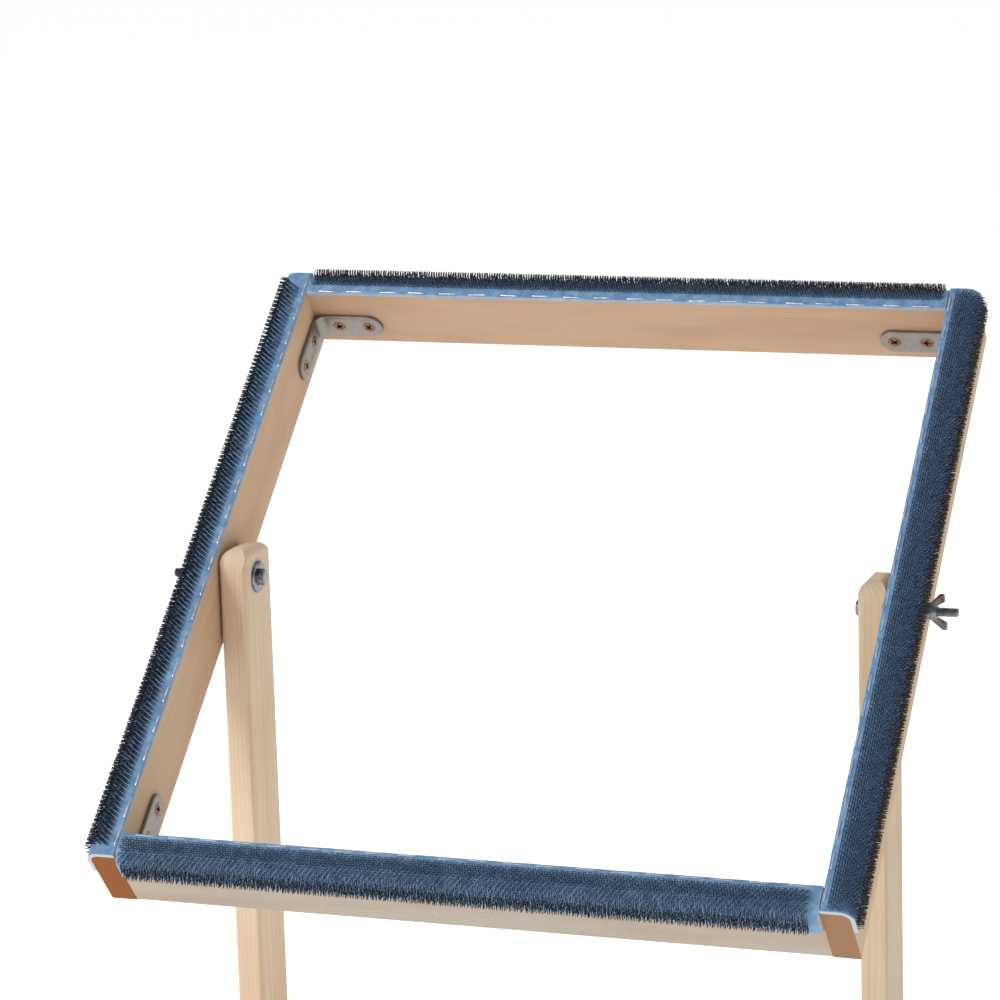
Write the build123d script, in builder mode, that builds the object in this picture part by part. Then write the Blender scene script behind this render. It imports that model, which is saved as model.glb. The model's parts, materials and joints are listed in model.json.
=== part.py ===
from build123d import *
import os
from math import cos, degrees, pi, sin

os.makedirs("parts", exist_ok=True)

# A gripper-strip frame on a stand. A wooden frame with wire gripper strips on its top edges tilts between two
# posts on a pair of bolts, and a wing nut on each bolt clamps it at the angle wanted.
# Millimetres. X runs left to right, Y from the sitter to the back, Z up from the surface the stand rests on.

# Pine batten, one size throughout
stock_thickness = 14.5
stock_height = 40.0
stock_edge_radius = 1.0
rail_corner_radius = 5.0  # outer top corner of each rail, which the strip bends round

# Tilting frame
frame_width = 400.0
frame_depth = 396.0
frame_tilt = 40.0  # degrees, back edge raised
pivot_height = 355.0
pivot_drop = 22.3  # pivot below the top of the side rails

# Stand
post_width = 37.5
post_thickness = 14.5
post_rise = 17.5  # post top above the pivot
post_corner_radius = 12.0
post_crown_radius = 6.0
post_edge_radius = 2.0
post_gap = 1.2  # between a post and the side rail beside it
foot_length = 360.0
foot_end_radius = 10.0
foot_bolt_spacing = 20.0

# Gripper strip
backing_thickness = 2.2
strip_drop = 15.0  # how far the strip comes down the outer face
strip_end_gap = 0.5  # between a front or back strip and the side strip it ends against
wire_height = 4.5
wire_diameter = 0.15  # thickness of the plain comb row that stands for one row of wires
wire_root = 0.5
row_pitch = 1.3
last_row_margin = 1.8
wire_end_margin = 4.0

# Staples
staple_length = 10.5
staple_width = 1.0
staple_wire = 0.6
staple_leg = 8.0
staple_proud = 0.2
staple_inset = 1.3  # from the rail's inner edge
staple_pitch = 18.0
staple_end_margin = 7.0

# Corner braces and their wood screws
brace_leg = 40.0
brace_width = 16.0
brace_thickness = 2.0
brace_end_radius = 7.9
brace_bend_radius = 7.0
brace_drop = 25.0  # middle of the brace below the top of the rails
brace_holes = (14.0, 32.0)  # from the corner
brace_hole_radius = 1.9
screw_radius = 1.75
screw_head_radius = 3.75
screw_length = 13.0
screw_proud = 0.3
recess_length = 4.0
recess_width = 0.8
recess_depth = 1.4

# M5 bolts, nuts and washers
bolt_radius = 2.5
bore_radius = 2.55
hex_across_flats = 8.0
hex_head_height = 3.5
nut_height = 4.0
bolt_tip_chamfer = 0.8
pivot_bolt_length = 50.0
foot_bolt_length = 35.0
plain_washer_radius = 5.0
plain_washer_thickness = 1.0
head_washer_radius = 8.75
head_washer_thickness = 1.2
spacer_radius = 7.5
spacer_clearance = 0.05

# Wing nut
wing_hub_radius = 5.0
wing_hub_top_radius = 4.0
wing_hub_height = 6.5
wing_span = 21.5
wing_height = 11.0
wing_thickness = 2.0
wing_tip_radius = 0.9
wing_turn = 20.0  # degrees from upright

# Places that follow from those
rail_inner_x = frame_width / 2 - stock_thickness
post_outer_x = rail_inner_x - post_gap
post_inner_x = post_outer_x - post_thickness
strip_top_flat = stock_thickness - rail_corner_radius
strip_bend = (rail_corner_radius + backing_thickness) * pi / 2
strip_width = strip_top_flat + strip_bend + strip_drop - rail_corner_radius
base_brace_height = stock_height / 2

sides = {"back": 0, "left": 90, "front": 180, "right": -90}
bare_zone = {"back": 5.7, "left": 5.0, "front": 3.8, "right": 4.0}  # before the first row of wires
corners = {
    "front_left": (-1, -1, 0),
    "front_right": (1, -1, 90),
    "back_right": (1, 1, 180),
    "back_left": (-1, 1, 270),
}
hands = {"left": -1, "right": 1}

tilted_frame = Location((0, 0, pivot_height), (frame_tilt, 0, 0)) * Location((0, 0, pivot_drop))


def save(piece, name):
    piece.label = name
    export_step(piece, f"parts/{name}.step")


def rail_length(side):
    return frame_depth if side in hands else 2 * rail_inner_x


def strip_length(side):
    return rail_length(side) - (0 if side in hands else 2 * strip_end_gap)


def rail_place(side, along=0.0, outward=0.0, up=0.0):
    """A place beside the outer top corner of a rail, with X along the rail, Y outward and Z up."""
    half = frame_width / 2 if side in hands else frame_depth / 2
    return tilted_frame * Location((0, 0, 0), (0, 0, sides[side])) * Location((along, half + outward, up))


def section_plane(side, along):
    """The plane across a rail, with X outward and Y up from its outer top corner."""
    return Plane(rail_place(side, along) * Plane.YZ.location)


def pivot_plane(hand, x):
    """The plane across the pivot axis at a distance from the middle, facing outward, with its X up."""
    way = hands[hand]
    return Plane(origin=(way * x, 0, pivot_height), x_dir=(0, 0, 1), z_dir=(way, 0, 0))


def foot_bolt_planes(hand, x):
    way = hands[hand]
    return [
        Plane(origin=(way * x, way * y, stock_height / 2), x_dir=(0, 0, 1), z_dir=(way, 0, 0))
        for y in (-foot_bolt_spacing / 2, foot_bolt_spacing / 2)
    ]


def corner_plane(base, half_width, half_depth, height, corner):
    """The plane through the middle of a brace, with X and Y along the two battens it joins."""
    way_x, way_y, turn = corners[corner]
    return Plane(base * Location((way_x * half_width, way_y * half_depth, height), (0, 0, turn)))


def brace_faces(plane, rise=0.0):
    """A plane on the brace's open face at each hole, facing away from the wood."""
    face = brace_thickness + rise
    along_x = [Plane(plane.location * Location((d, face, 0)) * Plane.ZX.location) for d in brace_holes]
    along_y = [Plane(plane.location * Location((face, d, 0)) * Plane.YZ.location) for d in brace_holes]
    return along_x + along_y


def strip_surface(distance):
    """Outward and up coordinates and turn, in degrees, of the strip's surface, from its inner edge."""
    if distance < strip_top_flat:
        return distance - stock_thickness, backing_thickness, 0.0
    turn = min((distance - strip_top_flat) / strip_bend, 1.0) * pi / 2
    radius = rail_corner_radius + backing_thickness
    outward = radius * sin(turn) - rail_corner_radius
    up = radius * cos(turn) - rail_corner_radius
    down_face = max(distance - strip_top_flat - strip_bend, 0.0)
    return outward, up - down_face, -degrees(turn)


def make_rail(side):
    length = rail_length(side)
    with BuildPart() as rail:
        with BuildSketch(section_plane(side, -length / 2)) as section:
            Rectangle(stock_thickness, stock_height, align=(Align.MAX, Align.MAX))
            fillet(section.vertices().sort_by_distance((0, 0))[0], rail_corner_radius)
            fillet(section.vertices().group_by(Axis.Y)[0], stock_edge_radius)
        extrude(amount=length)
        if side in hands:
            with Locations(pivot_plane(side, frame_width / 2)):
                Hole(bore_radius)
    return rail.part


def make_backing(side):
    length = strip_length(side)
    with BuildPart() as backing:
        with BuildSketch(section_plane(side, -length / 2)):
            with BuildLine():
                FilletPolyline(
                    (-stock_thickness, 0), (0, 0), (0, -strip_drop), radius=rail_corner_radius
                )
                offset(amount=backing_thickness, side=Side.LEFT)
            make_face()
        extrude(amount=length)
    return backing.part


def make_teeth(side):
    """Rows of wires, each a thin comb that stands square to the strip's surface."""
    length = strip_length(side) - 2 * wire_end_margin
    rows = int((strip_width - last_row_margin - bare_zone[side]) / row_pitch) + 1
    with BuildPart() as teeth:
        with BuildSketch(section_plane(side, -length / 2)):
            for row in range(rows):
                outward, up, turn = strip_surface(bare_zone[side] + row * row_pitch)
                with Locations(Location((outward, up), turn) * Location((0, -wire_root))):
                    Rectangle(wire_diameter, wire_height + wire_root, align=(Align.CENTER, Align.MIN))
        extrude(amount=length)
    return teeth.part


def make_staples(side):
    """U-shaped staples along the strip's bare inner edge, with their legs in the rail."""
    reach = strip_length(side) - 2 * staple_end_margin - staple_length
    count = round(reach / staple_pitch) + 1
    inner_y = staple_inset - stock_thickness
    place = rail_place(side, 0, inner_y, backing_thickness + staple_proud)
    with BuildPart() as staples:
        with BuildSketch(Plane(place * Plane.XZ.location)):
            with GridLocations(reach / (count - 1), 0, count, 1):
                Rectangle(staple_length, staple_leg, align=(Align.CENTER, Align.MAX))
            with Locations((0, -staple_wire)):
                with GridLocations(reach / (count - 1), 0, count, 1):
                    Rectangle(
                        staple_length - 2 * staple_wire,
                        staple_leg,
                        align=(Align.CENTER, Align.MAX),
                        mode=Mode.SUBTRACT,
                    )
        extrude(amount=staple_width / 2, both=True)
    return staples.part


def make_brace(plane):
    """A bent strip with rounded ends and two countersunk holes in each leg."""
    with BuildPart() as brace:
        with BuildSketch(plane):
            with BuildLine():
                FilletPolyline((brace_leg, 0), (0, 0), (0, brace_leg), radius=brace_bend_radius)
                offset(amount=brace_thickness, side=Side.RIGHT)
            make_face()
        extrude(amount=brace_width / 2, both=True)
        end_edges = brace.edges().filter_by(lambda edge: abs(edge.length - brace_thickness) < 0.01)
        fillet(end_edges, brace_end_radius)
        with Locations(*brace_faces(plane)):
            CounterSinkHole(
                brace_hole_radius,
                screw_head_radius - screw_proud,
                depth=2 * brace_thickness,
                counter_sink_angle=90,
            )
    return brace.part


def make_brace_screws(plane):
    """Four countersunk cross-recess wood screws."""
    top = (Align.CENTER, Align.CENTER, Align.MAX)
    head_faces = brace_faces(plane, screw_proud)
    with BuildPart() as screws:
        with Locations(*head_faces):
            Cylinder(screw_radius, screw_length, align=top)
            Cone(screw_radius, screw_head_radius, screw_head_radius - screw_radius, align=top)
        with BuildSketch(*head_faces):
            Rectangle(recess_length, recess_width)
            Rectangle(recess_width, recess_length)
        extrude(amount=-recess_depth, mode=Mode.SUBTRACT)
    return screws.part


def make_bolts(planes, length):
    """Hex bolts, each with the underside of its head on a plane and its shank along the normal."""
    with BuildPart() as bolts:
        with BuildSketch(*planes):
            RegularPolygon(hex_across_flats / 2, 6, major_radius=False)
        extrude(amount=-hex_head_height)
        with BuildSketch(*planes):
            Circle(bolt_radius)
        extrude(amount=length)
        rims = bolts.edges().filter_by(GeomType.CIRCLE)
        tips = [plane.offset(length).origin for plane in planes]
        chamfer([rims.sort_by_distance(tip)[0] for tip in tips], bolt_tip_chamfer)
    return bolts.part


def make_rings(planes, outer_radius, thickness):
    """Washers, each with one face on a plane."""
    with BuildPart() as rings:
        with BuildSketch(*planes):
            Circle(outer_radius)
            Circle(bore_radius, mode=Mode.SUBTRACT)
        extrude(amount=thickness)
    return rings.part


def make_nuts(planes):
    with BuildPart() as nuts:
        with BuildSketch(*planes):
            RegularPolygon(hex_across_flats / 2, 6, major_radius=False)
            Circle(bore_radius, mode=Mode.SUBTRACT)
        extrude(amount=nut_height)
    return nuts.part


def make_wing_nut(hand):
    """A tapered hub with two wings that rise and spread away from the rail."""
    base = pivot_plane(hand, frame_width / 2 + plain_washer_thickness)
    turned = Plane(base.location * Location((0, 0, 0), (0, 0, wing_turn)))
    with BuildPart() as wing_nut:
        with BuildSketch(base):
            Circle(wing_hub_radius)
        with BuildSketch(base.offset(wing_hub_height)):
            Circle(wing_hub_top_radius)
        loft()
        with BuildSketch(Plane(turned.location * Plane.XZ.location)) as wing:
            with BuildLine():
                Polyline(
                    (0, 1.0),
                    (wing_hub_radius - 0.5, 2.5),
                    (wing_span / 2, wing_height - 2.5),
                    (wing_span / 2, wing_height),
                    (wing_span / 2 - 4.0, wing_height),
                    (wing_hub_top_radius - 0.5, wing_hub_height - 0.5),
                    (0, wing_hub_height - 0.5),
                    close=True,
                )
            make_face()
            fillet(wing.vertices().group_by(Axis.X)[-1], wing_tip_radius)
            mirror(about=Plane.YZ)
        extrude(amount=wing_thickness / 2, both=True)
        with Locations(base):
            Hole(bore_radius)
    return wing_nut.part


def make_post(hand):
    """An upright with a rounded top, bored for the pivot bolt and the two foot bolts."""
    way = hands[hand]
    middle_x = way * (post_inner_x + post_outer_x) / 2
    height = pivot_height + post_rise
    with BuildPart() as post:
        with BuildSketch():
            with Locations((middle_x, 0)):
                RectangleRounded(post_thickness, post_width, post_edge_radius)
        extrude(amount=height)
        with BuildSketch(Plane.YZ.offset(middle_x)) as broad_face:
            Rectangle(post_width, height, align=(Align.CENTER, Align.MIN))
            fillet(broad_face.vertices().group_by(Axis.Y)[-1], post_corner_radius)
        extrude(amount=post_thickness, both=True, mode=Mode.INTERSECT)
        with BuildSketch(Plane.XZ) as narrow_face:
            with Locations((middle_x, 0)):
                Rectangle(post_thickness, height, align=(Align.CENTER, Align.MIN))
            fillet(narrow_face.vertices().group_by(Axis.Y)[-1], post_crown_radius)
        extrude(amount=post_width, both=True, mode=Mode.INTERSECT)
        with Locations(pivot_plane(hand, post_inner_x), *foot_bolt_planes(hand, post_inner_x)):
            Hole(bore_radius)
    return post.part


def make_foot(hand):
    """A batten on edge under the post, with rounded upper ends."""
    inner_x = hands[hand] * post_outer_x
    with BuildPart() as foot:
        with BuildSketch(Plane.YZ.offset(inner_x)) as profile:
            Rectangle(foot_length, stock_height, align=(Align.CENTER, Align.MIN))
            fillet(profile.vertices().group_by(Axis.Y)[-1], foot_end_radius)
        extrude(amount=hands[hand] * stock_thickness)
        fillet(foot.edges().group_by(Axis.Z)[-1].filter_by(Axis.Y), stock_edge_radius)
        with Locations(*foot_bolt_planes(hand, post_outer_x)):
            Hole(bore_radius)
    return foot.part


def make_stretcher(way_y):
    """A batten on edge between the two feet, flush with their ends."""
    middle_y = way_y * (foot_length - stock_thickness) / 2
    with BuildPart() as stretcher:
        with BuildSketch(Plane.YZ.offset(-post_outer_x)) as section:
            with Locations((middle_y, 0)):
                Rectangle(stock_thickness, stock_height, align=(Align.CENTER, Align.MIN))
            fillet(section.vertices().group_by(Axis.Y)[-1], stock_edge_radius)
        extrude(amount=2 * post_outer_x)
    return stretcher.part


# Tilting frame
for side in sides:
    save(make_rail(side), f"{side}_rail")
    save(make_backing(side), f"{side}_gripper_backing")
    save(make_teeth(side), f"{side}_gripper_teeth")
    save(make_staples(side), f"{side}_staples")

for corner in corners:
    rail_inner_y = frame_depth / 2 - stock_thickness
    plane = corner_plane(tilted_frame, rail_inner_x, rail_inner_y, -brace_drop, corner)
    save(make_brace(plane), f"{corner}_brace")
    save(make_brace_screws(plane), f"{corner}_brace_screws")

# Base of the stand
for corner in corners:
    stretcher_inner_y = foot_length / 2 - stock_thickness
    plane = corner_plane(Location(), post_outer_x, stretcher_inner_y, base_brace_height, corner)
    save(make_brace(plane), f"base_{corner}_brace")
    save(make_brace_screws(plane), f"base_{corner}_brace_screws")
save(make_stretcher(-1), "front_stretcher")
save(make_stretcher(1), "back_stretcher")

# Posts, feet and bolts, the same on each side
for hand in hands:
    save(make_post(hand), f"{hand}_post")
    save(make_foot(hand), f"{hand}_foot")

    head_x = post_inner_x - head_washer_thickness
    save(make_bolts([pivot_plane(hand, head_x)], pivot_bolt_length), f"{hand}_pivot_bolt")
    save(
        make_rings([pivot_plane(hand, head_x)], head_washer_radius, head_washer_thickness),
        f"{hand}_head_washer",
    )
    save(
        make_rings([pivot_plane(hand, post_outer_x)], spacer_radius, post_gap - spacer_clearance),
        f"{hand}_spacer_washer",
    )
    save(
        make_rings([pivot_plane(hand, frame_width / 2)], plain_washer_radius, plain_washer_thickness),
        f"{hand}_clamp_washer",
    )
    save(make_wing_nut(hand), f"{hand}_wing_nut")

    foot_outer_x = post_outer_x + stock_thickness
    outer_planes = foot_bolt_planes(hand, foot_outer_x)
    head_planes = [
        Plane(origin=plane.offset(plain_washer_thickness).origin, x_dir=plane.x_dir, z_dir=-plane.z_dir)
        for plane in outer_planes
    ]
    inner_planes = foot_bolt_planes(hand, post_inner_x - plain_washer_thickness)
    nut_planes = foot_bolt_planes(hand, post_inner_x - plain_washer_thickness - nut_height)
    save(make_bolts(head_planes, foot_bolt_length), f"{hand}_foot_bolts")
    save(
        make_rings(outer_planes + inner_planes, plain_washer_radius, plain_washer_thickness),
        f"{hand}_foot_washers",
    )
    save(make_nuts(nut_planes), f"{hand}_foot_nuts")
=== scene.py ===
import json
from math import cos, pi, radians, sin

import bmesh
import bpy
import numpy as np
from mathutils import Matrix, Vector

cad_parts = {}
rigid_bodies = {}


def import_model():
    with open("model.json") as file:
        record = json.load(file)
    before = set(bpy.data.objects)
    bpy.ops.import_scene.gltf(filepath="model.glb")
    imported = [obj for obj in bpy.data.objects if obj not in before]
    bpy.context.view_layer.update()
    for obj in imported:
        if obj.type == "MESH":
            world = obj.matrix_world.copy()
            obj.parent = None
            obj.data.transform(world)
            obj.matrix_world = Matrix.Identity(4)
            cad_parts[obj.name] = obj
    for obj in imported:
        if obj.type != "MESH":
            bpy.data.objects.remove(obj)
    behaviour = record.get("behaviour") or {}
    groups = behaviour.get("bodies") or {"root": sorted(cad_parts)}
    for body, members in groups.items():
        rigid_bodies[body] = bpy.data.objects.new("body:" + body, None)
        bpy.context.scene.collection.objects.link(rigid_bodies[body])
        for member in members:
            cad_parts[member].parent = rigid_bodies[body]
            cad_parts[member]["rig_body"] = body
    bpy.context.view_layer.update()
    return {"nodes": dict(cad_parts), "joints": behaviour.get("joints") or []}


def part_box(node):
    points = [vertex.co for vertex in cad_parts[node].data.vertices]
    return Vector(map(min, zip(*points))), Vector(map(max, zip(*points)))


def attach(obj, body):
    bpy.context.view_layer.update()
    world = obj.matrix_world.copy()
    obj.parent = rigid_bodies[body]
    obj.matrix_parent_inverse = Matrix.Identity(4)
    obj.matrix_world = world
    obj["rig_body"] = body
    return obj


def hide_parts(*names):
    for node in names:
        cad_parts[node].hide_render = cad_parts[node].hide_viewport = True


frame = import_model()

MM = 0.001
SIDES = ("back", "left", "front", "right")
HANDS = {"left": -1, "right": 1}
CORNERS = ("front_left", "front_right", "back_right", "back_left")

# Gripper strip, in metres
RAIL_CORNER = 5.0 * MM
WIRE_RADIUS = 0.2 * MM
WIRE_SPACING = 2.9 * MM  # from pair to pair along a row
PAIR_GAP = 1.1 * MM  # between the two wires of a pair
ROW_SHIFT = WIRE_SPACING / 3  # each row is set over by a third, which makes the twill
BEND_ROW_PITCH = 1.02 * MM  # rows stand closer on the bend and down the outer face
KNEE_HEIGHT = 1.6 * MM
KNEE_SHIFT = 0.57 * MM  # the lower part of a wire leans this far to the left, seen facing outward
UPPER_HEIGHT = 2.6 * MM
FACE_SHORTER = 0.5  # the share of the upper part's height and lean that wires on the outer face have lost
WIRE_LEAN = radians(35)  # of the upper part, outward
FOOT = 0.35 * MM  # how far a wire's root is set to the right
# Bare stretch at the two ends of each strip: at its low and its high end along the rail
BARE_ENDS = {
    "back": (2.7 * MM, 2 * MM), "left": (6 * MM, 2 * MM),
    "front": (6 * MM, 2 * MM), "right": (4 * MM, 0.6 * MM),
}
BARE_WEDGE = {"left": 9.5 * MM}  # more bare strip at the innermost row's high end, less with each row out
ROOT_DEPTH = 0.3 * MM  # of a wire in the backing
KNEE_EASE = 0.3 * MM  # on each side of a wire's knee
ROW_JITTER = 0.04 * MM  # across the rail
TOP_JITTER = 0.05 * MM  # along the rail, for wires on the top
FACE_JITTER = 0.25 * MM  # along the rail, added for wires on the outer face

# Staples
STAPLE_LENGTH = 10.5 * MM
STAPLE_WIDTH = 1.0 * MM
STAPLE_WIRE = 0.6 * MM

# Hardware
BOLT_RADIUS = 2.5 * MM
THREAD_PITCH = 0.8 * MM
THREAD_DEPTH = 0.42 * MM
HEX_FLATS = 8.0 * MM
SCREW_HEAD = 3.75 * MM

# Camera, as a lens and a place relative to the tilt axis
CAMERA_LENS = 135.0
CAMERA_TURN = radians(19.11)
CAMERA_PITCH = radians(-12.18)
CAMERA_ROLL = radians(1.67)
CAMERA_OFFSET = Vector((28.3, 1991.9, -48.8)) * MM  # the tilt axis seen from the camera: right, ahead, up


# ---------------------------------------------------------------- meshes

class Shape:
    """Points and faces of one piece, gathered from several closed forms."""

    def __init__(self):
        self.points, self.faces, self.count = [], [], 0

    def add(self, points, faces, place=Matrix.Identity(4)):
        turned = np.asarray(points, float) @ np.array(place.to_3x3()).T + np.array(place.translation)
        self.points.append(turned)
        self.faces += [[index + self.count for index in face] for face in faces]
        self.count += len(turned)

    def make(self, name, sharp=35):
        mesh = bpy.data.meshes.new(name)
        mesh.from_pydata(np.concatenate(self.points), [], self.faces)
        outward = bmesh.new()
        outward.from_mesh(mesh)
        bmesh.ops.recalc_face_normals(outward, faces=outward.faces)
        outward.to_mesh(mesh)
        outward.free()
        mesh.polygons.foreach_set("use_smooth", [True] * len(mesh.polygons))
        mesh.set_sharp_from_angle(angle=radians(sharp))
        piece = bpy.data.objects.new(name, mesh)
        bpy.context.scene.collection.objects.link(piece)
        return piece


def tube_faces(rings, around):
    """Faces of a tube of rings, each of so many points, with its two ends closed."""
    faces = []
    for r in range(rings - 1):
        here, above = r * around, (r + 1) * around
        for k in range(around):
            after = (k + 1) % around
            faces.append((here + k, here + after, above + after, above + k))
    faces.append(tuple(reversed(range(around))))
    faces.append(tuple(range((rings - 1) * around, rings * around)))
    return faces


def lathe(profile, around=64, shape_at=None):
    """A solid turned about Z from (radius, height) pairs, lowest first.

    shape_at bends the radius with the angle.
    """
    points = []
    for radius, height in profile:
        for k in range(around):
            angle = 2 * pi * k / around
            r = shape_at(radius, height, angle) if shape_at else radius
            points.append((r * cos(angle), r * sin(angle), height))
    return points, tube_faces(len(profile), around)


def lathe_loop(loop, around, shape_at=None):
    """A ring-shaped solid: a closed loop of (radius, height) pairs carried about Z."""
    count, points, faces = len(loop), [], []
    for k in range(around):
        angle = 2 * pi * k / around
        for radius, height in loop:
            r = shape_at(radius, height, angle) if shape_at else radius
            points.append((r * cos(angle), r * sin(angle), height))
        here, ahead = k * count, (k + 1) % around * count
        for i in range(count):
            after = (i + 1) % count
            faces.append((here + i, ahead + i, ahead + after, here + after))
    return points, faces


def ring(inner, outer, thickness, ease):
    """A washer with eased edges."""
    loop = [(inner, ease), (inner + ease, 0), (outer - ease, 0), (outer, ease)]
    loop += [(outer, thickness - ease), (outer - ease, thickness)]
    loop += [(inner + ease, thickness), (inner, thickness - ease)]
    return lathe_loop(loop, 96)


def hexagon(radius, height, angle):
    """The radius asked for, or the hexagon's own where that is smaller."""
    return min(radius, HEX_FLATS / 2 / cos((angle + pi / 6) % (pi / 3) - pi / 6))


def along(origin, direction):
    """A place at origin whose Z points along direction."""
    return Matrix.Translation(origin) @ Vector(direction).to_track_quat("Z", "Y").to_matrix().to_4x4()


def node_solids(node):
    """The points of each separate solid of a CAD node."""
    mesh = bmesh.new()
    mesh.from_mesh(frame["nodes"][node].data)
    bmesh.ops.remove_doubles(mesh, verts=mesh.verts, dist=1e-6)
    left, solids = set(mesh.verts), []
    while left:
        todo = [min(left, key=lambda v: v.index)]
        left.discard(todo[0])
        found = []
        while todo:
            vert = todo.pop()
            found.append(vert.co[:])
            for edge in vert.link_edges:
                other = edge.other_vert(vert)
                if other in left:
                    left.discard(other)
                    todo.append(other)
        solids.append(np.array(found))
    mesh.free()
    return sorted(solids, key=lambda points: tuple(points.mean(0).round(5)))


def finish_piece(piece, material, slot, *nodes):
    """Gives a piece its material, and makes it stand for its CAD nodes on their body."""
    piece.data.materials.clear()
    piece.data.materials.append(material)
    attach(piece, frame["nodes"][nodes[0]]["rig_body"])
    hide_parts(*nodes)
    return piece


# ---------------------------------------------------------------- the tilting frame's own directions

def top_normal(node):
    """The upward normal of a side rail's largest face that doesn't face left or right."""
    faces = [face for face in frame["nodes"][node].data.polygons if abs(face.normal.x) < 0.1]
    normal = max(faces, key=lambda face: face.area).normal.normalized()
    return normal if normal.z > 0 else -normal


RIGHTWARD = Vector((1, 0, 0))
FRAME_UP = top_normal("right_rail")
SLOPE = FRAME_UP.cross(RIGHTWARD)
OUTWARD = {"back": SLOPE, "left": -RIGHTWARD, "front": -SLOPE, "right": RIGHTWARD}


class Rail:
    """A rail's own axes: x along it, y outward and z up, from its outer top corner at mid-length."""

    def __init__(self, side):
        self.outward, self.up = OUTWARD[side], FRAME_UP
        self.along = self.outward.cross(self.up)
        axes = np.array([self.along, self.outward, self.up])
        rail = np.array([v.co for v in frame["nodes"][side + "_rail"].data.vertices]) @ axes.T
        strip = np.array([v.co for v in frame["nodes"][side + "_gripper_backing"].data.vertices]) @ axes.T
        low, high = rail.min(0), rail.max(0)
        self.thickness = high[1] - low[1]
        self.strip_length = strip[:, 0].max() - strip[:, 0].min()
        self.strip_thickness = strip[:, 2].max() - high[2]
        self.strip_drop = high[2] - strip[:, 2].min()
        origin = Vector(axes.T @ np.array([(low[0] + high[0]) / 2, high[1], high[2]]))
        self.axes, self.origin = axes, np.array(origin)
        columns = Matrix((self.along, self.outward, self.up)).transposed().to_4x4()
        self.place = Matrix.Translation(origin) @ columns
        self.flat = self.thickness - RAIL_CORNER
        self.bend = (RAIL_CORNER + self.strip_thickness) * pi / 2
        self.strip_width = self.flat + self.bend + self.strip_drop - RAIL_CORNER

    def local(self, node):
        """The points of each solid of a CAD node, in the rail's own axes."""
        return [(points - self.origin) @ self.axes.T for points in node_solids(node)]

    def surface(self, distance):
        """Outward, up and turn of the strip's face, at distances from its inner edge."""
        turn = np.clip((distance - self.flat) / self.bend, 0, 1) * pi / 2
        radius = RAIL_CORNER + self.strip_thickness
        on_bend = radius * np.sin(turn) - RAIL_CORNER
        outward = np.where(distance < self.flat, distance - self.thickness, on_bend)
        up = radius * np.cos(turn) - RAIL_CORNER - np.maximum(distance - self.flat - self.bend, 0)
        return outward, up, turn


RAILS = {side: Rail(side) for side in SIDES}


# ---------------------------------------------------------------- materials

class Nodes:
    """A material's node tree, with short calls for the nodes used here."""

    def __init__(self, name):
        self.material = bpy.data.materials.new(name)
        self.material.use_nodes = True
        self.tree = self.material.node_tree
        self.tree.nodes.clear()
        self.shader = self.node("ShaderNodeBsdfPrincipled")
        output = self.node("ShaderNodeOutputMaterial")
        self.tree.links.new(self.shader.outputs[0], output.inputs["Surface"])
        self.position = self.node("ShaderNodeTexCoord").outputs["Object"]

    def node(self, kind, **settings):
        made = self.tree.nodes.new(kind)
        for key, value in settings.items():
            setattr(made, key, value)
        return made

    def put(self, socket, value):
        if isinstance(value, bpy.types.NodeSocket):
            self.tree.links.new(value, socket)
        else:
            socket.default_value = value

    def math(self, operation, a, b=0.0, c=0.0, clamp=False):
        made = self.node("ShaderNodeMath", operation=operation, use_clamp=clamp)
        for socket, value in zip(made.inputs, (a, b, c)):
            self.put(socket, value)
        return made.outputs[0]

    def dot(self, vector, direction):
        made = self.node("ShaderNodeVectorMath", operation="DOT_PRODUCT")
        self.put(made.inputs[0], vector)
        self.put(made.inputs[1], tuple(direction))
        return made.outputs["Value"]

    def vector(self, x, y, z):
        made = self.node("ShaderNodeCombineXYZ")
        for socket, value in zip(made.inputs, (x, y, z)):
            self.put(socket, value)
        return made.outputs[0]

    def stretched(self, place, along, across, offset=0.0):
        """A place (run, side, rise) scaled by one number along the run and by another across it."""
        run, side, rise = place
        run = self.math("MULTIPLY_ADD", run, along, offset)
        return self.vector(run, self.math("MULTIPLY", side, across), self.math("MULTIPLY", rise, across))

    def noise(self, vector, scale, detail=3.0, roughness=0.5, distortion=0.0):
        made = self.node("ShaderNodeTexNoise")
        self.put(made.inputs["Vector"], vector)
        settings = {"Scale": scale, "Detail": detail, "Roughness": roughness, "Distortion": distortion}
        for name, value in settings.items():
            self.put(made.inputs[name], value)
        return made.outputs["Fac"]

    def level(self, factor, low, high, to_low=0.0, to_high=1.0):
        made = self.node("ShaderNodeMapRange", interpolation_type="SMOOTHSTEP")
        for socket, value in zip(made.inputs, (factor, low, high, to_low, to_high)):
            self.put(socket, value)
        return made.outputs["Result"]

    def mix(self, factor, a, b, blend="MIX"):
        made = self.node("ShaderNodeMix", data_type="RGBA", blend_type=blend)
        for index, value in ((0, factor), (6, a), (7, b)):  # the factor and the two colours
            self.put(made.inputs[index], value)
        return made.outputs[2]

    def bump(self, height, distance, strength=1.0):
        made = self.node("ShaderNodeBump")
        self.put(made.inputs["Height"], height)
        self.put(made.inputs["Distance"], distance)
        self.put(made.inputs["Strength"], strength)
        return made.outputs["Normal"]

    def finish(self, colour, roughness, normal=None, **constants):
        self.put(self.shader.inputs["Base Color"], colour)
        self.put(self.shader.inputs["Roughness"], roughness)
        if normal is not None:
            self.put(self.shader.inputs["Normal"], normal)
        for name, value in constants.items():
            self.put(self.shader.inputs[name.replace("_", " ")], value)
        return self.material


def srgb(red, green, blue):
    """Linear colour of an 8-bit display colour, with full alpha."""
    channels = [c / 255 for c in (red, green, blue)]
    return tuple(c / 12.92 if c <= 0.04045 else ((c + 0.055) / 1.055) ** 2.4 for c in channels) + (1.0,)


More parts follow.
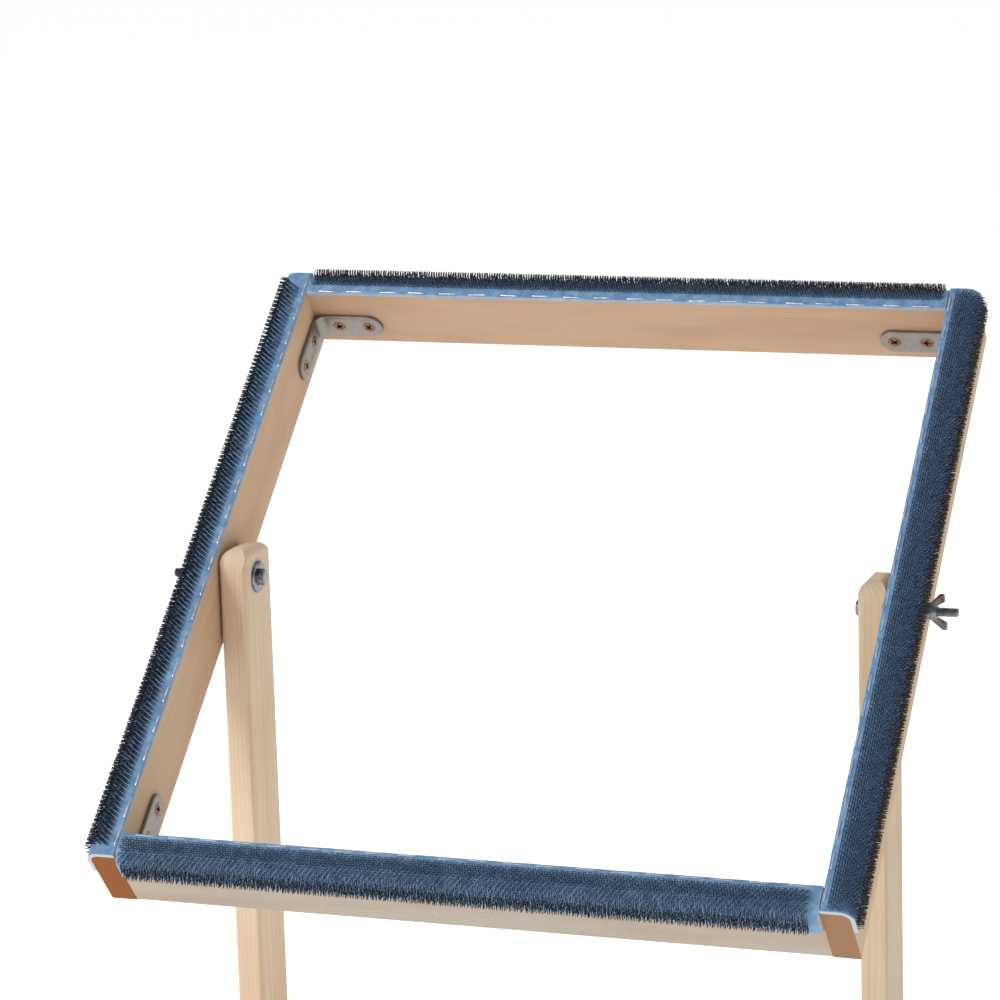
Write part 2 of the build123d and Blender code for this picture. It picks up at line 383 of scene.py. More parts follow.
def toned(colour, share):
    """A linear colour with its channels scaled, by one share or by one for each."""
    shares = (share,) * 3 if isinstance(share, (int, float)) else share
    return tuple(c * s for c, s in zip(colour, shares)) + (1.0,)


def pine(name, axis, across, centre, half_length, seed, end_colour, tone_and_shade, warmth=0.0):
    """Planed softwood. Rings run about a pith beside the batten, so the faces and the ends agree."""
    n = Nodes(name)
    axis, across = Vector(axis), Vector(across)
    third = axis.cross(across)
    rng = np.random.RandomState(seed)
    pith = rng.uniform(-0.03, 0.03), rng.choice([-1, 1]) * rng.uniform(0.045, 0.07)
    run = n.math("SUBTRACT", n.dot(n.position, axis), axis.dot(centre))
    side = n.math("SUBTRACT", n.dot(n.position, across), across.dot(centre) + pith[0])
    rise = n.math("SUBTRACT", n.dot(n.position, third), third.dot(centre) + pith[1])
    at = run, side, rise
    drift = n.noise(n.stretched(at, 2.2, 1.0, float(seed)), 2.5, 2.0)
    wander = n.math("MULTIPLY_ADD", drift, 0.018, -0.009)
    side_squared = n.math("POWER", n.math("ADD", side, wander), 2.0)
    radius = n.math("SQRT", n.math("ADD", side_squared, n.math("POWER", rise, 2.0)))
    waver = n.noise(n.stretched(at, 9.0, 60.0), 1.0, 2.0)
    rings = n.math("MULTIPLY_ADD", radius, 420.0, n.math("MULTIPLY", waver, 0.7))
    phase = n.math("FRACT", rings)
    late = n.math("MULTIPLY", n.level(phase, 0.35, 0.88), n.level(phase, 1.0, 0.9))
    fine = n.noise(n.stretched(at, 26.0, 1500.0), 1.0, 3.0, 0.6)
    patch = n.noise(n.stretched(at, 9.0, 42.0, seed * 1.7), 1.0, 2.0, 0.55)
    pale, warm, dark = srgb(236, 214, 186), srgb(222, 184, 150), srgb(204, 166, 128)
    colour = n.mix(n.level(patch, 0.35, 0.75, 0.0, 0.55 + warmth), pale, warm)
    colour = n.mix(n.math("MULTIPLY", late, n.level(fine, 0.2, 0.8, 0.08, 0.3)), colour, dark)
    colour = n.mix(n.level(fine, 0.55, 0.78, 0.0, 0.16), colour, srgb(190, 150, 106))
    # The batten's tone carries painted shade as well as the wood's own colour.
    colour = n.mix(1.0, colour, toned((1.0, 1.0, 1.0), tone_and_shade), "MULTIPLY")
    is_end = n.math("GREATER_THAN", n.math("ABSOLUTE", run), half_length - 0.15 * MM)
    pores = n.noise(n.stretched(at, 300.0, 2600.0), 1.0, 2.0, 0.7)
    end_dark = toned(end_colour, 0.62)
    end = n.mix(n.math("MULTIPLY", late, 0.25), end_colour, end_dark)
    end = n.mix(n.level(pores, 0.45, 0.75, 0.0, 0.4), end, end_dark)
    colour = n.mix(is_end, colour, end)
    roughness = n.math("MULTIPLY_ADD", fine, 0.16, 0.46)
    height = n.math("ADD", n.math("MULTIPLY", fine, 0.6), n.math("MULTIPLY", late, 0.5))
    normal = n.bump(height, 0.06 * MM, 0.6)
    return n.finish(colour, roughness, normal, Specular_IOR_Level=0.2)


def backing_material(side):
    """Blue laminated sheet: a smooth face with cloudy wear, over a paler core that shows at the cuts."""
    n = Nodes(f"gripper_backing_{side}")
    rail = RAILS[side]
    local = rail.place.inverted()
    run = n.math("ADD", n.dot(n.position, local[0][:3]), local[0][3])
    outward = n.math("ADD", n.dot(n.position, local[1][:3]), local[1][3])
    up = n.math("ADD", n.dot(n.position, local[2][:3]), local[2][3])
    cloud = n.noise(n.position, 190.0, 4.0, 0.62)
    broad = n.noise(n.position, 34.0, 2.0, 0.5)
    face = n.mix(n.level(cloud, 0.34, 0.68), srgb(98, 136, 176), srgb(132, 170, 206))
    face = n.mix(n.level(broad, 0.35, 0.7, 0.0, 0.35), face, srgb(90, 128, 170))
    speck = n.noise(n.position, 1300.0, 2.0, 0.5)
    face = n.mix(n.level(speck, 0.6, 0.75, 0.0, 0.25), face, srgb(176, 205, 228))
    end = n.math("GREATER_THAN", n.math("ABSOLUTE", run), rail.strip_length / 2 - 0.2 * MM)
    inner = n.math("LESS_THAN", outward, -rail.thickness + 0.12 * MM)
    lower = n.math("LESS_THAN", up, -rail.strip_drop + 0.15 * MM)
    cut = n.math("MAXIMUM", end, n.math("MAXIMUM", inner, lower))
    layers = n.noise(n.stretched((run, outward, up), 60.0, 1500.0), 1.0, 2.0)
    core = n.mix(n.level(layers, 0.35, 0.65), srgb(176, 190, 196), srgb(208, 205, 196))
    colour = n.mix(n.math("MULTIPLY", cut, n.math("MULTIPLY_ADD", end, 0.45, 0.4)), face, core)
    height = n.math("ADD", n.math("MULTIPLY", cloud, 0.7), n.math("MULTIPLY", speck, 0.3))
    roughness = n.math("MULTIPLY_ADD", cloud, 0.2, 0.32)
    return n.finish(colour, roughness, n.bump(height, 0.12 * MM, 0.5), Specular_IOR_Level=0.5)


# Painted light and shade on the wires: each strip's wire colours are scaled, darker on the back and left
# strips and brighter on the front and right.
WIRE_PAINTED_LIGHT_AND_SHADE = {"back": 0.65, "left": 0.4, "front": 1.5, "right": 2.6}


def wire_material(side):
    """Blued steel wire, brown-black and darker towards the bottom of the outer face, with painted glints and
    painted light and shade scaled for each strip.
    """
    n = Nodes(f"gripper_wire_{side}")
    local = RAILS[side].place.inverted()
    up = n.math("ADD", n.dot(n.position, local[2][:3]), local[2][3])
    each = n.node("ShaderNodeNewGeometry").outputs["Random Per Island"]
    painted_light_and_shade = WIRE_PAINTED_LIGHT_AND_SHADE[side]
    blued = n.mix(each, toned(srgb(22, 30, 44), painted_light_and_shade), toned(srgb(48, 64, 88), painted_light_and_shade))
    # Brown-black instead of blued, darker towards the bottom of the outer face.
    brown_black = n.mix(each, srgb(22, 18, 21), srgb(44, 34, 35))
    colour = n.mix(n.level(up, -0.3 * MM, -3.5 * MM), blued, brown_black)
    # Painted glints: this noise mixes light blue-grey flecks into the wire colour, and it also varies the
    # roughness.
    glint_and_roughness = n.noise(n.position, 2400.0, 2.0, 0.6)
    colour = n.mix(n.level(glint_and_roughness, 0.55, 0.8, 0.0, 0.3), colour, toned(srgb(120, 130, 150), painted_light_and_shade))
    return n.finish(colour, n.math("MULTIPLY_ADD", glint_and_roughness, 0.25, 0.3), None, Metallic=0.35)


def plated(name, pale, dark, low, high, metallic=1.0, grain=900.0, depth=0.03 * MM):
    """Plated steel: a cloudy sheen from the bath, with fine handling marks."""
    n = Nodes(name)
    cloud = n.noise(n.position, 240.0, 4.0, 0.6)
    marks = n.noise(n.position, grain, 3.0, 0.7, 0.4)
    colour = n.mix(n.level(cloud, 0.3, 0.7), dark, pale)
    colour = n.mix(n.level(marks, 0.58, 0.8, 0.0, 0.5), colour, dark)
    rough = n.level(cloud, 0.25, 0.75, low, high)
    return n.finish(colour, rough, n.bump(marks, depth, 0.5), Metallic=metallic)


def screw_material():
    """Yellow-passivated steel, with painted shade in the cross recess."""
    n = Nodes("screw_bronze")
    film = n.noise(n.position, 700.0, 3.0, 0.6)
    recess = n.node("ShaderNodeAttribute", attribute_name="recess").outputs["Fac"]
    colour = n.mix(n.level(film, 0.3, 0.7), srgb(150, 114, 90), srgb(98, 72, 54))
    # Painted shade: the cross recess darkened nearly to black.
    colour = n.mix(n.math("MULTIPLY", recess, 0.9), colour, srgb(34, 24, 19))
    return n.finish(colour, n.level(film, 0.3, 0.7, 0.22, 0.4), n.bump(film, 0.04 * MM, 0.5), Metallic=0.9)


STAPLE_STEEL = plated("staple_steel", srgb(244, 244, 246), srgb(196, 198, 204), 0.3, 0.48)
# Painted shade: a darker, bluer, less shiny copy of the staple steel, for the staples on the front and right
# strips.
SHADED_STAPLE_STEEL = plated(
    "staple_steel_shaded", srgb(190, 204, 220), srgb(158, 176, 198), 0.45, 0.6, metallic=0.4
)
BRACE_STEEL = plated(
    "brace_steel", srgb(149, 144, 138), srgb(136, 131, 126), 0.36, 0.46, grain=1600.0, depth=0.006 * MM
)
BOLT_ZINC = plated("bolt_zinc", srgb(150, 151, 156), srgb(96, 98, 104), 0.2, 0.36, depth=0.012 * MM)
SCREW_BRONZE = screw_material()


# ---------------------------------------------------------------- gripper strips

def strip_profile(rail):
    """Closed outline of the backing, from the rail's inner edge over the top and down the outer face."""
    ease = 0.35 * MM
    steps = np.concatenate([
        np.linspace(ease, rail.flat, 12, endpoint=False),
        np.linspace(rail.flat, rail.flat + rail.bend, 16, endpoint=False),
        np.linspace(rail.flat + rail.bend, rail.strip_width - ease, 9),
    ])
    outward, up, turn = rail.surface(steps)
    face = list(zip(outward, up))
    inner_y, lower_z, top_z = -rail.thickness, -rail.strip_drop, rail.strip_thickness
    start = [(inner_y, 0.0), (inner_y, top_z - ease), (inner_y + 0.3 * ease, top_z - 0.3 * ease)]
    end = [(top_z - 0.3 * ease, lower_z + 0.3 * ease), (top_z - ease, lower_z), (0.0, lower_z)]
    back = [(0.0, -RAIL_CORNER)]
    for a in np.linspace(0, pi / 2, 9)[1:]:
        back.append((RAIL_CORNER * cos(a) - RAIL_CORNER, RAIL_CORNER * sin(a) - RAIL_CORNER))
    return np.array(start + face + end + back)


def staple_places(side):
    """Where a strip's staples stand along and across the rail, and their turns.

    They are driven by hand, and so are a little uneven.
    """
    solids = RAILS[side].local(side + "_staples")
    middles = np.array([(points.min(0) + points.max(0)) / 2 for points in solids])
    rng = np.random.RandomState(40 + SIDES.index(side))
    count = len(middles)
    xs = np.sort(middles[:, 0]) + rng.uniform(-1.6, 1.6, count) * MM
    ys = middles[:, 1].mean() + rng.uniform(-0.3, 0.3, count) * MM
    return xs, ys, radians(2.2) * rng.uniform(-1, 1, count)


def row_distances(side):
    """How far each row of wires stands from the strip's inner edge.

    The CAD's combs give the first row, the last row and the pitch on the flat.
    """
    rail = RAILS[side]
    combs = rail.local(side + "_gripper_teeth")
    upright = sorted(comb[:, 1].mean() for comb in combs if np.ptp(comb[:, 1]) < 0.3 * MM)
    first, pitch = upright[0] + rail.thickness, upright[1] - upright[0]
    last = first + pitch * (len(combs) - 1)
    flat = np.arange(first, rail.flat, pitch)
    bent = np.arange(flat[-1] + BEND_ROW_PITCH, last + 0.5 * BEND_ROW_PITCH, BEND_ROW_PITCH)
    return np.concatenate([flat, bent])


def make_backing(side):
    rail = RAILS[side]
    outline = strip_profile(rail)
    stations = np.linspace(-rail.strip_length / 2, rail.strip_length / 2, int(rail.strip_length / (1.2 * MM)))
    xs, ys, _ = staple_places(side)
    staple_y = ys.mean()
    waves = np.random.RandomState(7 + SIDES.index(side)).uniform(0, 2 * pi, 4)
    points = []
    for x in stations:
        ripple = 0.09 * MM * (sin(x * 130 + waves[0]) + sin(x * 71 + waves[1]))
        edge = 0.08 * MM * (sin(x * 95 + waves[2]) + sin(x * 233 + waves[3]))
        gap = np.abs(xs - x).min()
        pressed = 1 / (1 + np.exp((gap - STAPLE_LENGTH * 0.52) / (0.9 * MM)))
        for y, z in outline:
            on_face = z > 0.4 * MM
            near = np.exp(-((y - staple_y) / (1.5 * MM)) ** 2)
            dip = (0.28 * MM * pressed * near - ripple * near * 0.8) if on_face else 0.0
            bulge = edge if on_face and y < -rail.thickness + 0.4 * MM else 0.0
            points.append((x, y + max(bulge, 0.0), z - dip))
    shape = Shape()
    shape.add(points, tube_faces(len(stations), len(outline)), rail.place)
    piece = shape.make(f"{side}_backing_strip", 60)
    return finish_piece(piece, backing_material(side), "gripper_backing", side + "_gripper_backing")


def make_wires(side):
    """Bent wires in staggered rows. Their lower parts lean left, and their upper parts lean outward."""
    rail = RAILS[side]
    rng = np.random.RandomState(100 + SIDES.index(side))
    low_end, high_end = BARE_ENDS[side]
    low, high = -rail.strip_length / 2 + low_end, rail.strip_length / 2 - high_end
    places = []
    for row, distance in enumerate(row_distances(side)):
        row_end = high - max(BARE_WEDGE.get(side, 0) - row * ROW_SHIFT, 0)
        starts = np.arange(low + (row * ROW_SHIFT) % WIRE_SPACING, row_end, WIRE_SPACING)
        xs = np.concatenate([starts, starts + PAIR_GAP])
        xs = xs[xs < row_end]
        places.append(np.stack([xs, np.full(len(xs), distance)], 1))
    places = np.concatenate(places)
    count = len(places)

    outward, up, turn = rail.surface(places[:, 1] + rng.normal(0, ROW_JITTER, count))
    down_face = turn / (pi / 2)  # 0 on the top, 1 on the outer face
    jitter = rng.normal(0, 1, count) * (TOP_JITTER + FACE_JITTER * down_face)
    base = np.stack([places[:, 0] + jitter, outward, up], 1)
    normal = np.stack([np.zeros(count), np.sin(turn), np.cos(turn)], 1)
    outer = np.stack([np.zeros(count), np.cos(turn), -np.sin(turn)], 1)
    sideways = np.array([[1.0, 0.0, 0.0]])
    shorter = 1 - FACE_SHORTER * down_face
    lean = (WIRE_LEAN * shorter + rng.normal(0, radians(3), count))[:, None]
    shift = (-KNEE_SHIFT + rng.normal(0, 0.08 * MM, count))[:, None]
    skew = rng.normal(0, radians(2.5), count)[:, None]
    rise = (UPPER_HEIGHT * shorter * rng.uniform(0.92, 1.05, count))[:, None]

    foot = base + sideways * FOOT - normal * ROOT_DEPTH
    knee = base + normal * KNEE_HEIGHT + sideways * shift
    lower = (knee - foot) / np.linalg.norm(knee - foot, axis=1, keepdims=True)
    upper = normal + outer * np.tan(lean) + sideways * np.tan(skew)
    tip = knee + upper * rise
    upper /= np.linalg.norm(upper, axis=1, keepdims=True)
    line = [foot, knee - lower * KNEE_EASE, knee + upper * KNEE_EASE, tip]
    around, rings = 4, []
    for centre, ahead in zip(line, (lower, lower, upper, upper)):
        aside = np.cross(ahead, sideways)
        aside /= np.linalg.norm(aside, axis=1, keepdims=True)
        for k in range(around):
            angle = 2 * pi * (k + 0.5) / around
            rings.append(centre + WIRE_RADIUS * (sideways * cos(angle) + aside * sin(angle)))
    points = np.stack(rings, 1)
    one_wire = np.array(tube_faces(len(line), around))
    faces = one_wire[None] + (np.arange(count) * points.shape[1])[:, None, None]
    shape = Shape()
    shape.add(points.reshape(-1, 3), faces.reshape(-1, around).tolist(), rail.place)
    piece = shape.make(f"{side}_gripper_wires", 100)
    return finish_piece(piece, wire_material(side), "gripper_wire", side + "_gripper_teeth")


def make_staples(side):
    """Flat-wire staples with rounded shoulders, pressed a little into the strip."""
    rail = RAILS[side]
    bend, leg = 0.7 * MM, 3.2 * MM
    half = STAPLE_LENGTH / 2 - STAPLE_WIRE / 2
    shoulder = [(half - bend + bend * sin(a), bend * cos(a) - bend) for a in np.linspace(0, pi / 2, 5)]
    right = [(half, -leg)] + shoulder[::-1]
    crown = [(-half * 0.5, -0.03 * MM), (0, -0.05 * MM), (half * 0.5, -0.03 * MM)]
    path = np.array([(-x, z) for x, z in right] + crown + right[::-1])
    w, t, e = STAPLE_WIDTH / 2, STAPLE_WIRE / 2, 0.16 * MM
    section = [(-w, -t + e), (-w + e, -t), (w - e, -t), (w, -t + e)]
    section += [(w, t - e), (w - e, t), (-w + e, t), (-w, t - e)]
    heading = np.gradient(path, axis=0)
    heading /= np.linalg.norm(heading, axis=1, keepdims=True)
    shape = Shape()
    rng = np.random.RandomState(60 + SIDES.index(side))
    for x, y, turn in zip(*staple_places(side)):
        top = rail.strip_thickness - rng.uniform(0.05, 0.2) * MM
        points = []
        for (px, pz), (hx, hz) in zip(path, heading):
            for a, b in section:
                points.append((px - hz * b, a, pz + hx * b))
        place = rail.place @ Matrix.Translation((x, y, top)) @ Matrix.Rotation(turn, 4, "Z")
        shape.add(points, tube_faces(len(path), len(section)), place)
    piece = shape.make(f"{side}_staple_row", 50)
    # The staples on the front and right strips take the copy with painted shade.
    steel = SHADED_STAPLE_STEEL if side in ("front", "right") else STAPLE_STEEL
    return finish_piece(piece, steel, "staple_steel", side + "_staples")


for side in SIDES:
    make_backing(side)
    make_wires(side)
    make_staples(side)


# ---------------------------------------------------------------- wood

END_GRAIN = {"left": srgb(143, 78, 12), "right": srgb(157, 117, 82)}
# Tones that multiply each batten's pine: partly its own colour and partly painted shade, darker on the back
# rail and right post, blue-grey on the front rail.
WOOD_TONE_AND_SHADE = {
    "back_rail": (0.65, 0.56, 0.52), "left_rail": (0.76, 0.69, 0.62), "front_rail": (0.56, 0.62, 0.71),
    "right_rail": (0.75, 0.67, 0.60), "left_post": (0.90, 0.90, 0.90), "right_post": (0.78, 0.79, 0.77),
}
PLAIN_END = srgb(204, 168, 126)
POST_END = srgb(228, 208, 178)
PLAIN_TONE = 0.85


def paint(node, material):
    """Puts a material on a carried-over CAD node."""
    data = frame["nodes"][node].data
    data.materials.clear()
    data.materials.append(material)


def batten(node, axis, across, seed, end_colour=PLAIN_END, warmth=0.0):
    """Gives a straight wooden node its own piece of pine."""
    points = np.array([v.co for v in frame["nodes"][node].data.vertices])
    runs = points @ np.array(axis)
    low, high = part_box(node)
    middle, half_length = (low + high) / 2, (runs.max() - runs.min()) / 2
    tone_and_shade = WOOD_TONE_AND_SHADE.get(node, PLAIN_TONE)
    paint(node, pine("pine_" + node, axis, across, middle, half_length, seed, end_colour, tone_and_shade, warmth))


for seed, side in enumerate(SIDES):
    rail, end_colour = RAILS[side], END_GRAIN.get(side, PLAIN_END)
    batten(f"{side}_rail", rail.along, rail.outward, 3 + seed, end_colour, 0.15)
for hand in HANDS:
    batten(f"{hand}_post", (0, 0, 1), (0, 1, 0), 21 if hand == "left" else 24, POST_END)
    batten(f"{hand}_foot", (0, 1, 0), (1, 0, 0), 31 if hand == "left" else 33)
for seed, end in enumerate(("front", "back")):
    batten(f"{end}_stretcher", (1, 0, 0), (0, 1, 0), 41 + seed)


# ---------------------------------------------------------------- braces and wood screws

def eased_copy(node, width, name, segments=2):
    """A copy of a CAD node with its sharp edges rounded over."""
    data = frame["nodes"][node].data.copy()
    mesh = bmesh.new()
    mesh.from_mesh(data)
    bmesh.ops.remove_doubles(mesh, verts=mesh.verts, dist=1e-6)
    bmesh.ops.dissolve_limit(mesh, angle_limit=radians(0.5), verts=mesh.verts, edges=mesh.edges)
    sharp = [e for e in mesh.edges if len(e.link_faces) == 2 and e.calc_face_angle() > radians(40)]
    bmesh.ops.bevel(
        mesh, geom=sharp, offset=width, segments=segments, profile=0.5, affect="EDGES", clamp_overlap=True
    )
    mesh.to_mesh(data)
    mesh.free()
    data.name = name
    data.polygons.foreach_set("use_smooth", [True] * len(data.polygons))
    data.set_sharp_from_angle(angle=radians(40))
    piece = bpy.data.objects.new(name, data)
    bpy.context.scene.collection.objects.link(piece)
    return piece


def screw_head():
    """Countersunk head with a tapered cross recess, its top near height 0.

    The third value is the share of recess at each point.
    """
    around, rings = 96, 22
    depth, arm, width = 1.5 * MM, 2.15 * MM, 0.42 * MM
    points, recess = [], []
    for r in range(1, rings + 1):
        radius = SCREW_HEAD * r / rings
        for k in range(around):
            angle = 2 * pi * k / around
            x, y = radius * cos(angle), radius * sin(angle)
            near, far = min(abs(x), abs(y)), max(abs(x), abs(y))
            across = np.clip((width + 0.22 * MM - near) / (0.3 * MM), 0, 1)
            reach = np.clip((arm - far) / (0.55 * MM), 0, 1)
            middle = np.clip((0.95 * MM - radius) / (0.3 * MM), 0, 1)
            cut = max(across * across * (3 - 2 * across) * reach, middle)
            dome = -0.16 * MM * (radius / SCREW_HEAD) ** 2 - (0.12 * MM if r == rings else 0)
            points.append((x, y, dome - depth * cut * (1 - 0.25 * radius / arm)))
            recess.append(cut)
    for radius, height in ((SCREW_HEAD, -0.45 * MM), (1.75 * MM, -2.3 * MM), (1.75 * MM, -4.0 * MM)):
        for k in range(around):
            angle = 2 * pi * k / around
            points.append((radius * cos(angle), radius * sin(angle), height))
            recess.append(0.0)
    return points, tube_faces(rings + 3, around), recess


HEAD_POINTS, HEAD_FACES, HEAD_RECESS = screw_head()


def screw_place(points, first, second):
    """A screw's place: the middle of its head's top, facing out of the wood."""
    axes = np.array([first, second, first.cross(second)])
    local = points @ axes.T
    low, high = local.min(0), local.max(0)
    run = int((high - low).argmax())
    spread = []
    for end in (low[run], high[run]):
        spread.append(np.ptp(local[np.abs(local[:, run] - end) < 0.1 * MM], axis=0).max())
    way = 1 if spread[1] > spread[0] else -1
    middle = (low + high) / 2
    middle[run] = high[run] if way > 0 else low[run]
    return along(Vector(axes.T @ middle), Vector(axes[run]) * way)


def make_corner(prefix, corner, first, second):
    brace_node, screw_node = f"{prefix}{corner}_brace", f"{prefix}{corner}_brace_screws"
    brace = eased_copy(brace_node, 0.3 * MM, f"{prefix}{corner}_bent_brace")
    finish_piece(brace, BRACE_STEEL, "brace_steel", brace_node)
    shape, recess = Shape(), []
    rng = np.random.RandomState(len(prefix) * 10 + CORNERS.index(corner))
    for points in node_solids(screw_node):
        place = screw_place(points, first, second) @ Matrix.Rotation(rng.uniform(0, pi / 2), 4, "Z")
        shape.add(HEAD_POINTS, HEAD_FACES, place)
        recess += HEAD_RECESS
    screws = shape.make(f"{prefix}{corner}_wood_screws", 50)
    values = screws.data.attributes.new("recess", "FLOAT", "POINT")
    values.data.foreach_set("value", np.array(recess, np.float32))
    finish_piece(screws, SCREW_BRONZE, "screw_bronze", screw_node)


for corner in CORNERS:
    make_corner("", corner, RIGHTWARD, SLOPE)
    make_corner("base_", corner, RIGHTWARD, Vector((0, 1, 0)))


# ---------------------------------------------------------------- bolts, nuts and washers

def thread_radius(radius, height, angle):
    """Radius on a screw thread, run out to plain at a radius below the core."""
    tooth = abs((height / THREAD_PITCH - angle / (2 * pi)) % 1.0 - 0.5) * 2
    return min(radius, BOLT_RADIUS - THREAD_DEPTH * (1 - tooth))


def add_bolt(shape, place, length, thread_length):
    """Hex head below Z = 0, shank above it, threaded over its last part and rounded at the tip."""
    head, corner = 3.5 * MM, HEX_FLATS / 2 / cos(pi / 6)
    profile = [(0.01 * MM, -head), (HEX_FLATS / 2 * 0.93, -head), (HEX_FLATS / 2, -head + 0.1 * MM)]
    profile += [(corner, -head + 0.75 * MM), (corner, -0.15 * MM), (corner - 0.25 * MM, 0.0), (0.01 * MM, 0.0)]
    shape.add(*lathe(profile, 72, hexagon), place)
    thread_start = length - thread_length
    plain = [(BOLT_RADIUS, 0.0), (BOLT_RADIUS, thread_start - 0.3 * MM)]
    plain.append((BOLT_RADIUS - THREAD_DEPTH, thread_start))
    shape.add(*lathe(plain, 48), place)
    steps = int(thread_length / THREAD_PITCH * 10)
    heights = np.linspace(thread_start - 0.2 * MM, length - 0.8 * MM, steps)
    threaded = [(BOLT_RADIUS, z) for z in heights]
    tip = [(BOLT_RADIUS - 0.35 * MM, length - 0.5 * MM), (BOLT_RADIUS - 0.8 * MM, length - 0.15 * MM)]
    tip.append((BOLT_RADIUS - 1.3 * MM, length))
    shape.add(*lathe(threaded + tip, 48, thread_radius), place)


def add_nut(shape, place, height):
    """A hex nut with chamfered corners and bore, from Z = 0 up."""
    corner, inner, flat = HEX_FLATS / 2 / cos(pi / 6), BOLT_RADIUS - 0.05 * MM, HEX_FLATS / 2 * 0.95
    loop = [(inner + 0.4 * MM, 0.0), (flat, 0.0), (corner, 0.5 * MM), (corner, height - 0.5 * MM)]
    loop += [(flat, height), (inner + 0.4 * MM, height), (inner, height - 0.4 * MM), (inner, 0.4 * MM)]
    shape.add(*lathe_loop(loop, 72, hexagon), place)


def solid_places(node, way):
    """For each solid of a node on an axis along X: the middle of its inner end, its length and its radius."""
    for points in node_solids(node):
        low, high = Vector(points.min(0)), Vector(points.max(0))
        middle = (low + high) / 2
        inner = Vector((low.x if way > 0 else high.x, middle.y, middle.z))
        yield inner, high.x - low.x, (high.y - low.y) / 2


def make_hardware(hand):
    way = HANDS[hand]
    outward, inward = Vector((way, 0, 0)), Vector((-way, 0, 0))

    bolt = Shape()
    for inner, length, radius in solid_places(f"{hand}_pivot_bolt", way):
        add_bolt(bolt, along(inner + outward * 3.5 * MM, outward), length - 3.5 * MM, 20 * MM)
    finish_piece(bolt.make(f"{hand}_pivot_bolt_threaded", 40), BOLT_ZINC, "bolt_zinc", f"{hand}_pivot_bolt")

    for kind in ("head_washer", "spacer_washer", "clamp_washer", "foot_washers"):
        washers = Shape()
        for inner, length, radius in solid_places(f"{hand}_{kind}", way):
            washers.add(*ring(BOLT_RADIUS + 0.05 * MM, radius, length, 0.14 * MM), along(inner, outward))
        finish_piece(washers.make(f"{hand}_{kind}_eased", 50), BOLT_ZINC, "bolt_zinc", f"{hand}_{kind}")

    foot_bolts = Shape()
    for inner, length, radius in solid_places(f"{hand}_foot_bolts", way):
        outer = inner + outward * (length - 3.5 * MM)
        add_bolt(foot_bolts, along(outer, inward), length - 3.5 * MM, 16 * MM)
    threaded = foot_bolts.make(f"{hand}_foot_bolts_threaded", 40)
    finish_piece(threaded, BOLT_ZINC, "bolt_zinc", f"{hand}_foot_bolts")

    nuts = Shape()
    for inner, length, radius in solid_places(f"{hand}_foot_nuts", way):
        add_nut(nuts, along(inner, outward), length)
    finish_piece(nuts.make(f"{hand}_foot_nuts_chamfered", 40), BOLT_ZINC, "bolt_zinc", f"{hand}_foot_nuts")

    wing = eased_copy(f"{hand}_wing_nut", 0.2 * MM, f"{hand}_wing_nut_cast", 1)
    remesh = wing.modifiers.new("cast", "REMESH")
    remesh.mode, remesh.voxel_size = "VOXEL", 0.24 * MM
    smooth = wing.modifiers.new("soft", "SMOOTH")
    smooth.factor, smooth.iterations = 0.5, 6
    bpy.context.view_layer.update()
    final = bpy.data.meshes.new_from_object(wing.evaluated_get(bpy.context.evaluated_depsgraph_get()))
    wing.modifiers.clear()
    wing.data = final
    final.polygons.foreach_set("use_smooth", [True] * len(final.polygons))
    finish_piece(wing, BOLT_ZINC, "bolt_zinc", f"{hand}_wing_nut")


for hand in HANDS:
    make_hardware(hand)


# ---------------------------------------------------------------- floor, light and camera

FLOOR_REACH = 30.0
FLOOR_GLOW = 0.6
WORLD_STRENGTH = 0.42
LIGHTS = {  # place, size and power
    "key": ((-1.8, -1.6, 2.2), 1.4, 49),
    "fill": ((2.4, -1.6, 1.2), 2.0, 1.5),
    "rim": ((0.6, 2.2, 2.0), 1.5, 9),
}


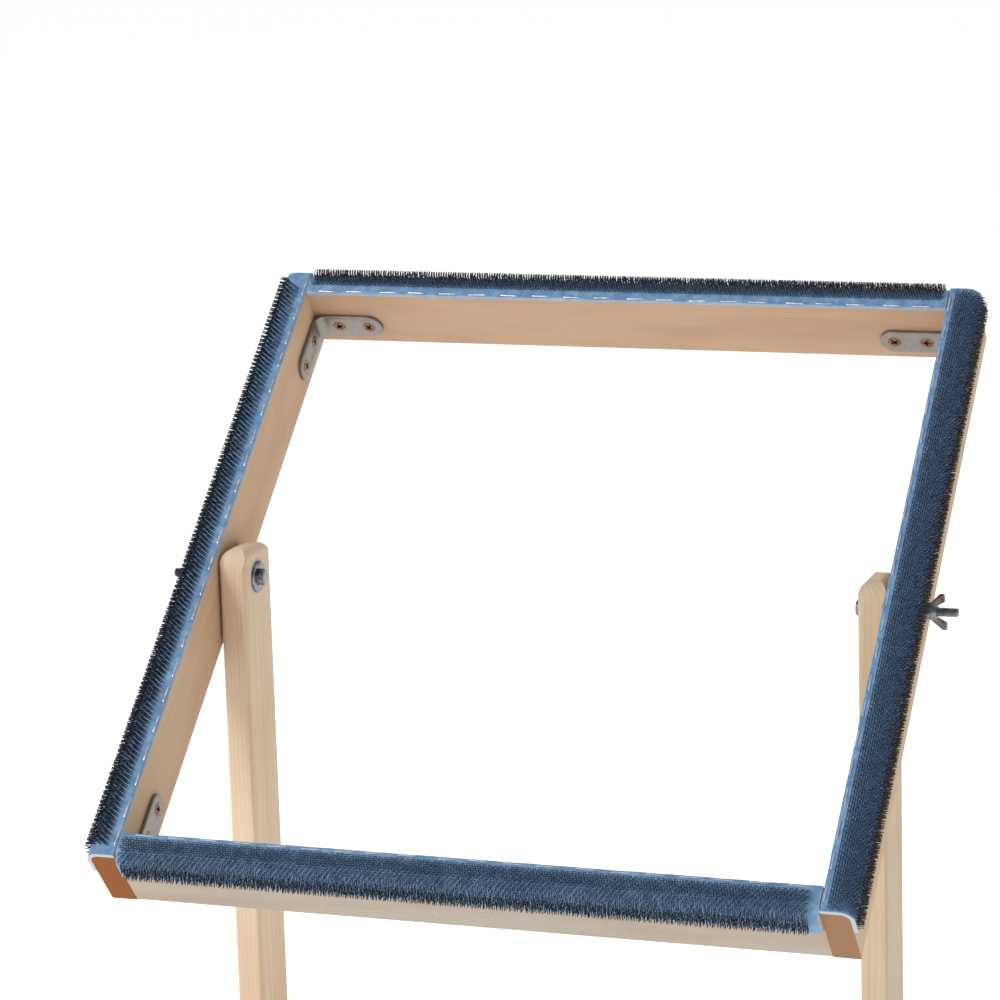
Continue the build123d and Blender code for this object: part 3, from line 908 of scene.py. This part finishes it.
def make_floor():
    mesh = bpy.data.meshes.new("floor")
    corners = [(x * FLOOR_REACH, y * FLOOR_REACH, 0) for x, y in ((-1, -1), (1, -1), (1, 1), (-1, 1))]
    mesh.from_pydata(corners, [], [(0, 1, 2, 3)])
    floor = bpy.data.objects.new("floor", mesh)
    bpy.context.scene.collection.objects.link(floor)
    n = Nodes("floor")
    mottle = n.noise(n.position, 3.0, 2.0)
    colour = n.mix(mottle, (0.93, 0.93, 0.93, 1), (0.95, 0.95, 0.95, 1))
    glow = {"Emission_Color": (1, 1, 1, 1), "Emission_Strength": FLOOR_GLOW}
    mesh.materials.append(n.finish(colour, 0.9, None, Specular_IOR_Level=0.1, **glow))


def make_light(name, place, target, size, power):
    data = bpy.data.lights.new(name, "AREA")
    data.shape, data.size, data.energy = "DISK", size, power
    light = bpy.data.objects.new(name, data)
    light.location = place
    light.rotation_euler = (Vector(target) - Vector(place)).to_track_quat("-Z", "Y").to_euler()
    bpy.context.scene.collection.objects.link(light)


def make_camera(pivot):
    aim = Matrix.Rotation(CAMERA_TURN, 3, "Z") @ Matrix.Rotation(CAMERA_PITCH, 3, "X")
    turn = aim @ Matrix.Rotation(CAMERA_ROLL, 3, "Y")
    right, ahead, up = turn.col
    data = bpy.data.cameras.new("camera")
    data.lens, data.sensor_width, data.clip_end = CAMERA_LENS, 36.0, 100.0
    camera = bpy.data.objects.new("camera", data)
    axes = Matrix((right, up, -ahead)).transposed().to_4x4()
    camera.matrix_world = Matrix.Translation(pivot - turn @ CAMERA_OFFSET) @ axes
    bpy.context.scene.collection.objects.link(camera)
    bpy.context.scene.camera = camera


PIVOT = Vector(next(j for j in frame["joints"] if j["name"] == "frame_tilt")["pos_m"])
make_floor()
make_camera(PIVOT)
for name, (place, size, power) in LIGHTS.items():
    make_light(name, place, PIVOT, size, power)

world = bpy.data.worlds.new("studio")
world.use_nodes = True
world.node_tree.nodes["Background"].inputs["Color"].default_value = (1.0, 1.0, 1.0, 1.0)
world.node_tree.nodes["Background"].inputs["Strength"].default_value = WORLD_STRENGTH
bpy.context.scene.world = world
bpy.context.scene.view_settings.view_transform = "Standard"
